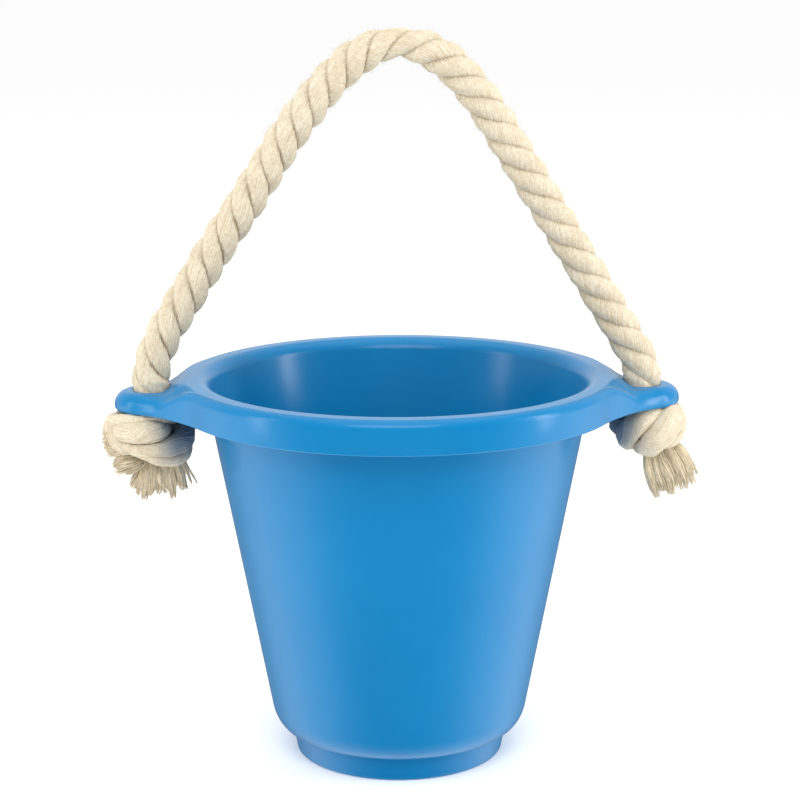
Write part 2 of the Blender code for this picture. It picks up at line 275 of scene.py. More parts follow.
def wavy(points, scale, seed):
    """Smooth noise vectors of about unit size at points, for a feature size in metres."""
    offset = Vector((seed * 13.7, seed * 5.1, seed * 9.3))
    return np.array([noise.noise_vector(Vector(point) / scale + offset) for point in points])


def uneven(points, lumps, seed):
    """Points moved by smooth noise of several sizes."""
    moved = points
    for amount, scale, shift in lumps:
        moved = moved + amount * wavy(points, scale, seed + shift)
    return moved


def fibre_places(shape, around, along):
    """Where each point of a tube lies on its yarn: two values across the yarn and one along it."""
    angles = ring_angles(shape[1])
    values = (around * np.cos(angles), around * np.sin(angles), along[:, None])
    return np.stack([np.broadcast_to(value, shape) for value in values], axis=-1).reshape(-1, 3)


def painted_ear_shade_share(points):
    """Share of painted blue-grey shade: under the ears, on the side next to the wall."""
    towards_wall = smooth_step((EAR_SHADE_OUTER_X - np.abs(points[:, 0])) / EAR_SHADE_WIDTH)
    under_ear = smooth_step((points[:, 2] - EAR_SHADE_BOTTOM) / EAR_SHADE_RISE)
    return EAR_SHADE_SHARE * towards_wall * under_ear * (points[:, 2] < EAR_SHADE_TOP)


def add_piece(name, chunks, material, loose=False):
    """One cotton piece of several closed chunks (points, faces, attributes by name)."""
    points = []
    faces = []
    start = 0
    for chunk_points, chunk_faces, _ in chunks:
        points.append(chunk_points)
        faces += [[corner + start for corner in face] for face in chunk_faces]
        start += len(chunk_points)
    mesh = bpy.data.meshes.new(name)
    points = np.vstack(points)
    mesh.from_pydata(points.tolist(), [], faces)
    values_by_name = {key: [chunk[2][key] for chunk in chunks] for key in chunks[0][2]}
    # Painted blue-grey shade under the ears, next to the wall.
    values_by_name["painted_ear_shade"] = [painted_ear_shade_share(points)]
    values_by_name["loose"] = [np.full(len(points), float(loose))]
    for key, parts in values_by_name.items():
        values = np.concatenate([np.asarray(part, np.float32) for part in parts])
        kind = "FLOAT_VECTOR" if values.ndim == 2 else "FLOAT"
        attribute = mesh.attributes.new(key, kind, "POINT")
        attribute.data.foreach_set("vector" if values.ndim == 2 else "value", values.ravel())
    mesh.shade_smooth()
    mesh.materials.append(material)
    mesh.update()
    piece = bpy.data.objects.new(name, mesh)
    bpy.context.scene.collection.objects.link(piece)
    return piece


# ---------------------------------------------------------------- materials

# Places of the colour sockets on a Mix node: its inputs, then its output.
MIX_SHARE, MIX_FIRST, MIX_SECOND = 0, 6, 7
MIX_COLOUR = 2


class Tree:
    """Short calls for building one node tree."""

    def __init__(self, node_tree):
        self.nodes = node_tree.nodes
        self.links = node_tree.links
        self.shader = self.nodes.get("Principled BSDF")

    def add(self, kind, inputs=None, **settings):
        node = self.nodes.new(kind)
        for key, value in settings.items():
            setattr(node, key, value)
        for key, value in (inputs or {}).items():
            if isinstance(value, bpy.types.NodeSocket):
                self.links.new(value, node.inputs[key])
            else:
                node.inputs[key].default_value = value
        return node

    def attribute(self, name):
        return self.add("ShaderNodeAttribute", attribute_name=name)

    def noise(self, vector, scale, detail=3.0, roughness=0.55):
        inputs = {"Vector": vector, "Scale": scale, "Detail": detail, "Roughness": roughness}
        return self.add("ShaderNodeTexNoise", inputs).outputs["Fac"]

    def ramp(self, value, low, high, to_low=0.0, to_high=1.0, shape="LINEAR"):
        inputs = {"Value": value, "From Min": low, "From Max": high, "To Min": to_low, "To Max": to_high}
        return self.add("ShaderNodeMapRange", inputs, interpolation_type=shape).outputs["Result"]

    def smooth_ramp(self, value, low, high, to_low=0.0, to_high=1.0):
        return self.ramp(value, low, high, to_low, to_high, "SMOOTHSTEP")

    def maths(self, operation, first, second):
        return self.add("ShaderNodeMath", {0: first, 1: second}, operation=operation).outputs[0]

    def mix(self, share, first, second):
        inputs = {MIX_SHARE: share, MIX_FIRST: first, MIX_SECOND: second}
        return self.add("ShaderNodeMix", inputs, data_type="RGBA").outputs[MIX_COLOUR]

    def bump(self, height, strength, distance, normal=None):
        inputs = {"Height": height, "Strength": strength, "Distance": distance}
        if normal is not None:
            inputs["Normal"] = normal
        return self.add("ShaderNodeBump", inputs).outputs["Normal"]

    def connect(self, **sockets):
        for name, value in sockets.items():
            self.links.new(value, self.shader.inputs[name.replace("_", " ")])


def new_material(name):
    material = bpy.data.materials.new(name)
    material.use_nodes = True
    return material, Tree(material.node_tree)


def plastic_material():
    """Satin moulded plastic: an even blue with a faint grain, flow marks and fine scuffs."""
    material, tree = new_material("satin_blue_plastic")
    place = tree.add("ShaderNodeTexCoord").outputs["Object"]
    mottle = tree.noise(place, scale=22.0, detail=2.0)
    colour = tree.mix(tree.smooth_ramp(mottle, 0.20, 0.80), PLASTIC_DEEP, PLASTIC_PALE)
    grain = tree.noise(place, scale=1400.0, detail=2.0)
    swell = tree.noise(place, scale=55.0, detail=1.0)
    stretched = tree.add("ShaderNodeMapping", {"Vector": place, "Scale": (35.0, 35.0, 260.0)})
    scuffs = tree.noise(stretched.outputs[0], scale=1.0, detail=6.0, roughness=0.7)
    dull = tree.smooth_ramp(mottle, 0.20, 0.80, to_low=0.232, to_high=0.254)
    scuffed = tree.smooth_ramp(scuffs, 0.58, 0.85, to_low=0.0, to_high=0.018)
    normal = tree.bump(swell, strength=0.10, distance=1.2 * MM)
    normal = tree.bump(grain, strength=0.10, distance=0.08 * MM, normal=normal)
    tree.connect(Base_Color=colour, Roughness=tree.maths("ADD", dull, scuffed), Normal=normal)
    tree.shader.inputs["Specular IOR Level"].default_value = 0.24
    tree.shader.inputs["Sheen Weight"].default_value = 0.04
    tree.shader.inputs["Sheen Roughness"].default_value = 0.45
    tree.shader.inputs["Sheen Tint"].default_value = (0.85, 0.94, 1.0, 1.0)
    return material


def cotton_material():
    """Undyed cotton: cream yarns, painted dark warm shade in the creases and grooves, and painted
    blue-grey shade under the ears, next to the plastic.
    """
    material, tree = new_material("undyed_cotton")
    fibre = tree.attribute("fibre").outputs["Vector"]
    place = tree.add("ShaderNodeTexCoord").outputs["Object"]
    names = ("painted_shade", "tone_and_groove_shade", "loose", "painted_ear_shade")
    painted_shade, tone_and_groove_shade, loose, painted_ear_shade = (tree.attribute(name).outputs["Fac"] for name in names)
    streak = tree.noise(fibre, scale=1.0, detail=4.0, roughness=0.65)
    patch = tree.noise(place, scale=130.0)
    speck = tree.noise(place, scale=900.0, detail=2.0)
    streaks = tree.ramp(streak, 0.35, 0.75, to_low=0.0, to_high=0.5)
    patches = tree.ramp(patch, 0.4, 0.7, to_low=0.0, to_high=0.35)
    specks = tree.ramp(speck, 0.44, 0.64, to_low=0.0, to_high=0.55)
    shade = tone_and_groove_shade
    for part in (specks, patches, streaks):
        shade = tree.maths("ADD", shade, part)
    colour = tree.mix(shade, tree.mix(loose, COTTON_PALE, COTTON_LOOSE), COTTON_WARM)
    # Painted shade in creases, under bands, on knot cores and at lock roots.
    colour = tree.mix(painted_shade, colour, COTTON_PAINTED_SHADE)
    # Painted blue-grey shade under the ears.
    colour = tree.mix(painted_ear_shade, colour, COTTON_EAR_SHADE)
    normal = tree.bump(streak, strength=0.6, distance=0.25 * MM)
    normal = tree.bump(speck, strength=0.7, distance=0.30 * MM, normal=normal)
    tree.connect(Base_Color=colour, Normal=normal)
    tree.shader.inputs["Roughness"].default_value = 0.92
    tree.shader.inputs["Specular IOR Level"].default_value = 0.15
    tree.shader.inputs["Sheen Weight"].default_value = 0.25
    tree.shader.inputs["Sheen Roughness"].default_value = 0.5
    tree.shader.inputs["Sheen Tint"].default_value = (1.0, 0.95, 0.85, 1.0)
    return material


# ---------------------------------------------------------------- rope

def yarn_ring(yarns, turn):
    """Section angles that follow the yarns, each one's yarn, and which lie in a groove between two."""
    count = yarns * SAMPLES_PER_YARN
    yarn = np.arange(count) // SAMPLES_PER_YARN
    groove = (np.arange(count) % SAMPLES_PER_YARN == 0).astype(float)
    return ring_angles(count)[None, :] - turn[:, None], yarn, groove


def rope_line():
    return smooth_line([(x, 0.0, z) for x, z in ROPE_ROUTE], ROPE_RING_SPACING)


def rope_crease_shade(line, inner, points, depth):
    """Painted shade in the creases between the strands, from how far in the surface lies."""
    painted_shade = smooth_step((CREASE_SHADE_RADII[0] - depth) / (CREASE_SHADE_RADII[0] - CREASE_SHADE_RADII[1]))
    facing = (unit(points - line[:, None, :]) * inner[:, None, :]).sum(-1)
    change_start = APEX_X + CREASE_SHADE_CHANGE_WIDTH / 2.0
    left_leg = smooth_step((change_start - line[:, 0]) / CREASE_SHADE_CHANGE_WIDTH)[:, None]
    left_share = smooth_step((facing - LEFT_CREASE_SHADE_START) / LEFT_CREASE_SHADE_SPAN)
    right_share = smooth_step((RIGHT_CREASE_SHADE_SPAN - np.abs(facing)) / RIGHT_CREASE_SHADE_SPAN)
    left = LEFT_CREASE_SHADE_LEAST + (1.0 - LEFT_CREASE_SHADE_LEAST) * left_share
    right = RIGHT_CREASE_SHADE_LEAST + RIGHT_CREASE_SHADE_GAIN * right_share
    return painted_shade, left_leg * left + (1.0 - left_leg) * right


def rope_strand(line, along, strand, turn, size):
    """One strand of the laid rope, winding round the line, with its yarns as real grooves."""
    inner = carried_side(line, (1.0, 0.0, 0.0))
    front = -np.cross(tangents(line), inner)
    phase = turn + FULL_TURN * strand / STRANDS
    share = np.interp(along / along[-1], LAY_SHARES, YARN_TURN_SHARES)
    yarn_turn = np.concatenate([[0.0], np.cumsum(np.diff(turn) * share[1:])])
    wander = ripples(along, YARN_WANDER, strand)
    angles, yarn, groove = yarn_ring(YARNS_PER_STRAND, yarn_turn + wander)
    yarn_tone = rng.normal(0.0, YARN_TONE_SPREAD, YARNS_PER_STRAND)[yarn]
    yarn_lift = rng.normal(0.0, YARN_LIFT_SPREAD, YARNS_PER_STRAND)[yarn]
    depth_wave = np.sin(along[:, None] * YARN_DEPTH_WAVES + yarn[None, :] * YARN_PHASE + strand)
    lift = yarn_lift - groove * YARN_DEPTH * (1.0 + YARN_DEPTH_CHANGE * depth_wave)
    swell = 1.0 + ripples(along, STRAND_SWELL, strand)
    squeeze = np.exp(-((line[:, 2] - HOLE_MIDDLE) / HOLE_REACH) ** 2)
    wide = STRAND_ACROSS * swell * (1.0 + HOLE_WIDENING * squeeze)
    radial = STRAND_CENTRE + (STRAND_RADIAL * swell[:, None] + lift) * np.cos(angles)
    radial = radial * (size * (1.0 + HOLE_SWELL * squeeze))[:, None]
    across = (wide[:, None] + lift) * np.sin(angles) * size[:, None]
    reach = np.hypot(radial, across)
    limit = HOLE_SQUEEZE_RADIUS + (1.0 - squeeze[:, None]) * HOLE_FREE_ROOM
    fitted = np.minimum(1.0, limit / reach)
    radial, across = radial * fitted, across * fitted
    out = np.cos(phase)[:, None] * inner + np.sin(phase)[:, None] * front
    over = -np.sin(phase)[:, None] * inner + np.cos(phase)[:, None] * front
    points = swept(line, out, over, radial, across)
    # Painted shade: full on the strand's inner half, by depth elsewhere, faded by which way it faces and
    # in patches.
    painted_shade, fade = rope_crease_shade(line, inner, points, reach / size[:, None])
    patches = CREASE_SHADE_LEVEL + ripples(along, CREASE_SHADE_PATCHES, strand)
    painted_shade = np.where(radial > 0.0, painted_shade, 1.0) * fade * patches[:, None]
    # Random tone for each yarn, plus painted shade in the grooves between yarns.
    tone_and_groove_shade = np.broadcast_to(yarn_tone + GROOVE_SHADE * groove, angles.shape)
    fibre_along = along / FIBRE_ALONG + STRAND_FIBRE_SHIFT * strand
    fibre = fibre_places(angles.shape, STRAND_ACROSS / FIBRE_ACROSS, fibre_along)
    attributes = {"painted_shade": painted_shade.ravel(), "tone_and_groove_shade": tone_and_groove_shade.ravel(), "fibre": fibre}
    return uneven(points.reshape(-1, 3), ROPE_LUMPS, strand), tube_faces(*angles.shape), attributes


def rope_turn(line, along):
    """Angle that the lay has turned through at each point, with a crease under the apex."""
    lay = np.interp(along / along[-1], LAY_SHARES, LAY_LENGTHS)
    mean_lay = 0.5 * (lay[1:] + lay[:-1])
    turn = np.concatenate([[0.0], np.cumsum(np.diff(along) * FULL_TURN / mean_lay)])
    apex = int(np.argmin(np.abs(line[:, 0] - APEX_X)))
    return turn - turn[apex] + math.pi, apex


def hair(root, outward):
    """One loose fibre standing off the surface in a short curve."""
    length = rng.uniform(*HAIR_LENGTHS)
    heading = unit(outward * rng.uniform(*HAIR_STANDING) + rng.normal(0.0, HAIR_SCATTER, 3))
    curl = rng.normal(0.0, HAIR_CURL, 3)
    share = np.linspace(0.0, 1.0, HAIR_RINGS)[:, None]
    line = root + heading * length * share + curl * length * share**2
    line = line - outward * HAIR_ROOT_DEPTH * (1.0 - share)
    side = carried_side(line, HAIR_FIRST_SIDE)
    third = np.cross(tangents(line), side)
    angles = ring_angles(HAIR_SIDES)
    size = HAIR_RADIUS * (1.0 - HAIR_TAPER * share)
    points = swept(line, side, third, size * np.cos(angles), size * np.sin(angles)).reshape(-1, 3)
    plain = np.zeros(len(points))
    attributes = {"painted_shade": plain, "tone_and_groove_shade": plain, "fibre": points / HAIR_FIBRE}
    return points, tube_faces(HAIR_RINGS, HAIR_SIDES), attributes


def hairs(chunks, middle_of, count, keep=None):
    """Loose fibres rooted at random points of some chunks, pointing away from their middle line."""
    points = np.vstack([chunk[0] for chunk in chunks])
    picks = points[rng.integers(0, len(points), count)]
    found = []
    for point in picks:
        outward = point - middle_of(point)
        if keep is None or keep(point, outward):
            found.append(hair(point, unit(outward)))
    return found


def build_rope(material):
    line, along = rope_line()
    turn, apex = rope_turn(line, along)
    size = 1.0 - APEX_PINCH * np.exp(-((along - along[apex]) / APEX_PINCH_REACH) ** 2)
    chunks = [rope_strand(line, along, strand, turn, size) for strand in range(STRANDS)]
    rope = add_piece("rope_strands", chunks, material)
    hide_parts("rope_handle", "rope_neck_left", "rope_neck_right")

    def nearest(point):
        return line[int(np.argmin(((line - point) ** 2).sum(1)))]

    def on_surface(point, outward):
        return point[2] > ROPE_EXIT[2] and np.linalg.norm(outward) > FUZZ_SURFACE
    fuzz = add_piece("rope_fuzz", hairs(chunks, nearest, FUZZ_TRIES, on_surface), material)
    return rope, fuzz, line, along


# ---------------------------------------------------------------- knots and frayed ends

# Each band: half width at its start and end, half depth, yarns and route in millimetres.
# Each clump of loose fibres: radius at its root and its tip, fibres, and its path in millimetres.
KNOTS = {
    "left": {
        "centre": (-94.5, 0.0, 125.0), "core": (13.0, 10.5, 9.5),
        "bands": [
            # strand under the ear, above the oval one
            (1.7, 2.7, 2.6, 16, [(-83, -2, 132.5), (-84.6, -7.5, 133.2), (-90, -10.2, 133.4),
                (-97, -10.8, 133.2), (-103.5, -8.8, 132.4), (-107.6, -4.5, 131.6), (-107.6, 2, 130.5),
                (-103, 6, 129)]),
            # oval strand at the front
            (3.4, 4.6, 3.0, 24, [(-99, -4, 127.6), (-104.6, -7.6, 128.4), (-102.4, -11.4, 128.8),
                (-97.4, -13.3, 128.9), (-92.8, -13.1, 129.1), (-89.7, -10.6, 129.6), (-89.6, -5, 130)]),
            # strand that comes down on the left and frays
            (3.4, 2.6, 3.2, 20, [(-98, 2, 132.8), (-103.5, -1.5, 132.4), (-107.2, -4.6, 130.6),
                (-108.0, -6.6, 127.8), (-106.4, -8.4, 125.2), (-103.0, -9.6, 123.0),
                (-99.6, -8.6, 121.4)]),
            # strand that closes the knot below
            (2.2, 3.7, 3.3, 20, [(-104.5, -6.0, 125.6), (-101.6, -9.8, 124.2), (-97.9, -11.9, 122.4),
                (-93.6, -12.4, 120.4), (-88.6, -11.4, 118.6), (-84.0, -7.8, 118.3), (-81.4, -2.0, 120.2),
                (-85, 4, 122)]),
            # loop on the right that sweeps under the oval strand and tapers
            (5.8, 2.2, 3.6, 26, [(-88, 5, 129.0), (-82.4, 1.5, 128.0), (-80.9, -4.0, 126.4),
                (-82.2, -8.8, 124.4), (-86.4, -12.0, 122.9), (-91.6, -13.1, 122.6), (-96.5, -12.4, 123.2),
                (-99.5, -9.8, 124.0)]),
            # the back
            (4.3, 4.3, 3.4, 20, [(-104, -4, 127), (-107.6, 1.5, 127.0), (-105.6, 8.0, 126.6),
                (-100.5, 12.0, 125.6), (-93.5, 13.4, 125.3), (-86.6, 12, 126.2), (-81.6, 7, 127.6),
                (-80.8, 0, 128.4), (-85, -4, 127)]),
            (3.8, 3.8, 3.3, 18, [(-99, 0, 121), (-104.8, 3, 121.5), (-101.2, 9.0, 119.6),
                (-94.5, 11.1, 118.5), (-87.5, 10, 119), (-83.0, 4.5, 121), (-88, 0, 121)]),
            (2.8, 2.8, 2.8, 16, [(-99, 2, 131), (-104.8, 4.5, 131.6), (-100, 9.6, 132.2),
                (-93.6, 11.2, 132.2), (-87, 9.8, 132.2), (-82.8, 4.6, 131.6), (-88, 0, 131)]),
        ],
        "clumps": [
            (1.3, 1.3, 50, [(-103.0, -7, 127.2), (-108.0, -9.0, 127.6), (-111.4, -8.5, 127.6)]),
            (1.6, 1.5, 60, [(-101.5, -6, 125.4), (-107.0, -9.4, 125.6), (-111.4, -9, 124.8)]),
            (1.8, 1.6, 70, [(-101.0, -6, 123.6), (-106.0, -9.0, 122.9), (-110.9, -9, 122.8)]),
            (1.8, 1.6, 70, [(-100.5, -6, 121.6), (-105.2, -9.6, 121.0), (-109.6, -9.5, 119.9)]),
            (1.6, 1.6, 50, [(-100.0, -1, 123.4), (-106.0, -3, 123.4), (-111.0, -3.5, 122.6)]),
            (1.6, 1.4, 60, [(-98.6, -6, 119.4), (-103.2, -9.6, 118.9), (-107.4, -9.0, 117.2)]),
            (1.8, 1.5, 70, [(-97.6, -6, 117.8), (-102.6, -9.4, 116.4), (-107.8, -8.5, 115.0)]),
            (1.7, 1.3, 60, [(-97.0, -6, 116.6), (-101.8, -8.6, 114.6), (-106.6, -8.0, 112.6)]),
            (1.5, 1.2, 50, [(-96.0, -5, 116.3), (-100.0, -7.4, 113.4), (-103.6, -7.4, 112.2)]),
            (1.5, 1.4, 44, [(-97.0, -1, 117.4), (-103.0, -2.5, 116.0), (-107.2, -3.0, 114.2)]),
            (1.6, 1.6, 66, [(-95.5, -4, 117.0), (-98.2, -5.0, 111.0), (-101.2, -5.5, 106.0)]),
            (1.6, 1.5, 66, [(-95.5, -5, 117.0), (-97.2, -6.0, 109.0), (-99.2, -6.0, 103.2)]),
            (1.7, 1.4, 66, [(-94.2, -5, 116.5), (-95.4, -6.5, 108.5), (-96.7, -6.0, 101.3)]),
            (1.7, 1.5, 66, [(-92.4, -5, 116.0), (-93.0, -6.5, 109.0), (-94.2, -6.0, 103.3)]),
            (1.6, 1.4, 60, [(-90.6, -5, 116.0), (-90.6, -6.0, 109.0), (-91.0, -5.5, 103.3)]),
            (1.4, 1.1, 50, [(-88.8, -5, 116.0), (-88.6, -6.0, 109.0), (-88.2, -5.5, 103.9)]),
            (1.1, 0.7, 34, [(-87.2, -4.5, 116.0), (-86.9, -5.0, 108.0), (-86.4, -5.0, 101.3)]),
            (1.1, 0.6, 30, [(-86.0, -4.5, 116.0), (-85.6, -4.5, 108.0), (-84.9, -4.0, 101.6)]),
            (1.4, 1.0, 44, [(-84.6, -3.5, 116.5), (-83.2, -4.0, 110.0), (-81.9, -4.0, 104.4)]),
            (1.2, 0.8, 36, [(-83.6, -2.5, 117.0), (-81.9, -3.0, 110.5), (-80.5, -3.0, 104.4)]),
            (0.8, 0.5, 18, [(-83.0, -1.5, 118.0), (-80.8, -2.0, 112.0), (-78.7, -2.0, 106.1)]),
            (0.6, 0.3, 12, [(-82.6, -1.0, 118.0), (-79.4, -1.0, 111.5), (-76.6, -1.0, 106.1)]),
            (2.1, 1.9, 64, [(-93.8, -1.2, 117.0), (-95.4, -1.4, 110.0), (-96.4, -1.0, 103.0)]),
            (2.1, 1.8, 60, [(-89.4, -1.0, 116.5), (-89.0, -0.6, 109.5), (-88.4, -0.6, 104.6)]),
            (1.9, 1.9, 60, [(-94.0, 2, 117.0), (-96.5, 3.0, 110.0), (-98.3, 3.5, 103.8)]),
            (1.9, 1.9, 60, [(-91.0, 3, 116.0), (-91.5, 4.0, 109.0), (-91.8, 4.5, 102.8)]),
            (1.9, 1.8, 60, [(-87.0, 3, 116.0), (-85.8, 4.0, 109.0), (-84.6, 4.5, 103.6)]),
            (1.8, 1.8, 50, [(-95.0, 5, 118.0), (-98.0, 7.5, 111.0), (-100.4, 8.5, 105.6)]),
            (1.8, 1.6, 50, [(-87.0, 5, 118.0), (-85.8, 8.0, 110.0), (-85.4, 9.5, 104.6)]),
        ],
    },
    "right": {
        "centre": (95.7, 0.0, 125.0), "core": (10.6, 10.0, 9.5),
        "bands": [
            # broad strand that sweeps from the upper right to the lower left
            (6.0, 4.4, 3.8, 30, [(102, 5, 132.5), (103.4, -1.5, 133.2), (103.0, -7.4, 131.8),
                (101.2, -11.1, 129.0), (98.2, -12.6, 125.4), (95.2, -11.8, 122.2), (93.6, -8.6, 120.1),
                (93.6, -3, 119.6), (96, 2, 121)]),
            # strand beside it in the ear's shadow
            (4.4, 4.6, 3.5, 22, [(100, -3, 133), (95.6, -9.0, 133.2), (91.6, -11.5, 131.4),
                (88.3, -11.5, 128.4), (86.4, -9.8, 125.4), (86.2, -6.4, 122.9), (88.6, -1, 121.6),
                (92, 3, 121)]),
            # narrow strand on the outer side
            (3.2, 3.4, 3.0, 16, [(101, 6, 132.5), (105.0, 2.5, 132.4), (106.4, -2.0, 130.4),
                (106.4, -4.8, 127.0), (104.6, -6.4, 123.4), (101.0, -6, 121.2), (97, -3, 120)]),
            # the back
            (4.5, 4.5, 3.5, 20, [(87, -5, 127), (84.6, 0.5, 127.4), (86.4, 7.2, 127.6),
                (92.2, 12.0, 127.8), (99, 12.3, 126.8), (104.8, 8.0, 125.6), (106.4, 1.5, 125.2),
                (103, -4, 125)]),
            (3.7, 3.7, 3.3, 18, [(90, -1, 121), (87.6, 3.2, 121), (92.2, 9.3, 120.9), (98.2, 10.1, 119.9),
                (103.4, 6.4, 120.2), (104, 0.5, 121), (99, -3, 121)]),
            (2.8, 2.8, 2.8, 16, [(90, -2, 131), (86.4, 2.6, 131.6), (90, 8.6, 132.2), (97, 10.6, 132.2),
                (103.2, 7, 131.8), (101, 0, 131)]),
        ],
        "clumps": [
            (1.9, 1.7, 84, [(95.6, -3, 120.5), (94.8, -5.5, 113.5), (95.8, -5.5, 108.0),
                (97.4, -5, 103.2), (99.0, -5, 99.0)]),
            (1.6, 1.5, 66, [(96.4, -3, 120.5), (97.2, -6.0, 114.0), (98.6, -6.0, 108.6),
                (100.2, -5.5, 104.6), (101.0, -5, 101.2)]),
            (1.9, 2.3, 96, [(98.0, -3, 120.5), (100.0, -6.0, 115.2), (102.2, -6.5, 110.4),
                (103.6, -5.5, 105.2), (104.6, -5, 100.4)]),
            (2.0, 2.5, 96, [(99.6, -3, 121.0), (103.2, -5.5, 116.8), (106.0, -6.0, 112.2),
                (107.6, -5, 106.8), (108.8, -4.5, 101.8)]),
            (1.8, 1.8, 72, [(101.0, -2, 121.5), (105.8, -4.5, 118.2), (109.2, -5.0, 113.8),
                (111.0, -4, 109.2), (112.2, -4, 103.8)]),
            (1.0, 0.8, 30, [(102.0, -1, 121.5), (107.6, -3.0, 118.4), (111.4, -3.0, 113.4),
                (114.4, -3, 107.6)]),
            (2.2, 2.3, 84, [(97.4, -0.6, 120.5), (98.6, -1.4, 114.0), (100.2, -1.2, 107.6),
                (101.8, -1.6, 100.6)]),
            (2.2, 2.4, 84, [(99.8, -0.4, 120.8), (103.4, -0.8, 115.0), (105.8, -1.0, 109.0),
                (107.0, -0.6, 102.8)]),
            (2.0, 2.2, 80, [(97.0, 2, 120.5), (98.0, 3.5, 114.0), (99.5, 4.0, 108.0), (101.4, 4, 101.8)]),
            (2.0, 2.4, 80, [(99.5, 2, 120.5), (102.6, 3.5, 114.5), (105.0, 3.8, 108.5),
                (106.6, 4, 101.8)]),
            (1.9, 2.0, 70, [(101.0, 2, 121.5), (106.2, 2.5, 117.0), (109.6, 2.5, 111.0),
                (111.0, 2, 104.6)]),
            (1.7, 1.6, 60, [(98.0, 5, 120.5), (101.0, 7.0, 114.0), (103.6, 7.5, 108.0),
                (105.0, 7.5, 103.0)]),
        ],
    },
}

# Strands of a knot.
BAND_RING_SPACING = 0.0008
BAND_TWIST = 85.0
BAND_TWIST_WAVE = ((0.3, 420.0, 1.0),)
BAND_SWELL = ((0.05, 260.0, 1.7),)
BAND_END_LENGTH = 4.0 * MM
BAND_END_SHARE = 0.65
BAND_SIDE_POWER = 0.85
BAND_TOP_POWER = 0.9
# Painted shade on the side of a band that faces into the knot.
BAND_INNER_SHADE = 0.9
BAND_INNER_SHADE_EDGE = 0.16
BAND_INNER_SHADE_SPAN = 0.5
# Painted shade on the knot's core, which shows between the bands.
CORE_SHADE = 0.6

# Locks of loose fibres: their wave, their soft body, and the single fibres.
CLUMP_WAVE_SHARE = 0.34
CLUMP_WAVES = (6.0, 10.0)
CLUMP_BODY_SHARE = 0.72
CLUMP_BODY_LENGTH = 0.86
CLUMP_BODY_SIDES = 14
CLUMP_BODY_TONE = 0.15
# Painted shade at the root of a lock's body.
CLUMP_BODY_ROOT_SHADE = 0.30
CLUMP_BODY_TAPER = 0.55
CLUMP_BODY_TAPERS = (0.55, 0.95)
CLUMP_BODY_ROOT_SHADE_END = 0.4
CLUMP_BODY_SWELL = 0.08
CLUMP_BODY_WAVES = 23.0
FIBRE_RADIUS = 0.21 * MM
FIBRE_RADIUS_RANGE = (0.75, 1.2)
FIBRE_TAPER = 0.65
FIBRE_TAPERS = (0.6, 1.0)
FIBRE_RINGS = 10
FIBRE_SIDES = 4
FIBRE_LENGTHS = (0.82, 1.12)
FIBRE_DRIFT = 0.256
FIBRE_WAVE = 0.20 * MM
FIBRE_WAVES = (9.0, 16.0)
FIBRE_CORE_SHARE = 0.15
FIBRE_TIPS_DRAWN = 0.30
FIBRE_TIPS = (0.8, 1.0)
WAVE_PHASES = (0.0, 6.3)
FIBRE_TONE = -0.12
FIBRE_TONE_SPREAD = 0.22
# Painted shade at each fibre's root and on fibres deep inside the lock.
FIBRE_ROOT_SHADE = 0.25
FIBRE_ROOT_SHADE_END = 0.25
FIBRE_INNER_SHADE = 0.15
LEAST_FIBRE_TURN = 1.2
LOCK_FIRST_SIDE = (0.3, 1.0, 0.2)


def knot_band(start_width, end_width, half_depth, yarns, route, centre, seed):
    """One strand laid over the knot: a flattened tube with its flat side facing outwards."""
    line, along = smooth_line(np.array(route, float) * MM, BAND_RING_SPACING)
    tangent = tangents(line)
    outward = unit(line - np.array(centre) * MM)
    outward = unit(outward - tangent * (outward * tangent).sum(1)[:, None])
    side = np.cross(tangent, outward)
    handedness = 1 if seed % 2 else -1
    turn = along * BAND_TWIST * handedness + ripples(along, BAND_TWIST_WAVE, seed)
    angles, yarn, groove = yarn_ring(yarns, turn)
    lift = rng.normal(0.0, YARN_LIFT_SPREAD, yarns)[yarn] - groove * YARN_DEPTH
    half_width = start_width + (end_width - start_width) * smooth_step(along / along[-1])
    from_end = smooth_step(np.minimum(along, along[-1] - along) / BAND_END_LENGTH)
    end = BAND_END_SHARE + (1.0 - BAND_END_SHARE) * from_end
    swell = 1.0 + ripples(along, BAND_SWELL, seed)
    wide = (half_width * MM * end * swell)[:, None] + lift
    deep = (half_depth * MM * end)[:, None] + lift
    cosine, sine = np.cos(angles), np.sin(angles)
    across = wide * np.sign(cosine) * np.abs(cosine) ** BAND_SIDE_POWER
    up = deep * np.sign(sine) * np.abs(sine) ** BAND_TOP_POWER
    points = swept(line, side, outward, across, up).reshape(-1, 3)
    yarn_tone = rng.normal(0.0, YARN_TONE_SPREAD, yarns)[yarn]
    # Random tone for each yarn, plus painted shade in the grooves between yarns.
    tone_and_groove_shade = np.broadcast_to(yarn_tone + GROOVE_SHADE * groove, angles.shape)
    # Painted shade on the band's side that faces into the knot.
    painted_shade = BAND_INNER_SHADE * smooth_step((BAND_INNER_SHADE_EDGE - sine) / BAND_INNER_SHADE_SPAN)
    around = start_width * MM / FIBRE_ACROSS
    fibre = fibre_places(angles.shape, around, along / FIBRE_ALONG + BAND_FIBRE_SHIFT * seed)
    attributes = {"painted_shade": painted_shade.ravel(), "tone_and_groove_shade": tone_and_groove_shade.ravel(), "fibre": fibre}
    return uneven(points, KNOT_LUMPS, seed), tube_faces(*angles.shape), attributes


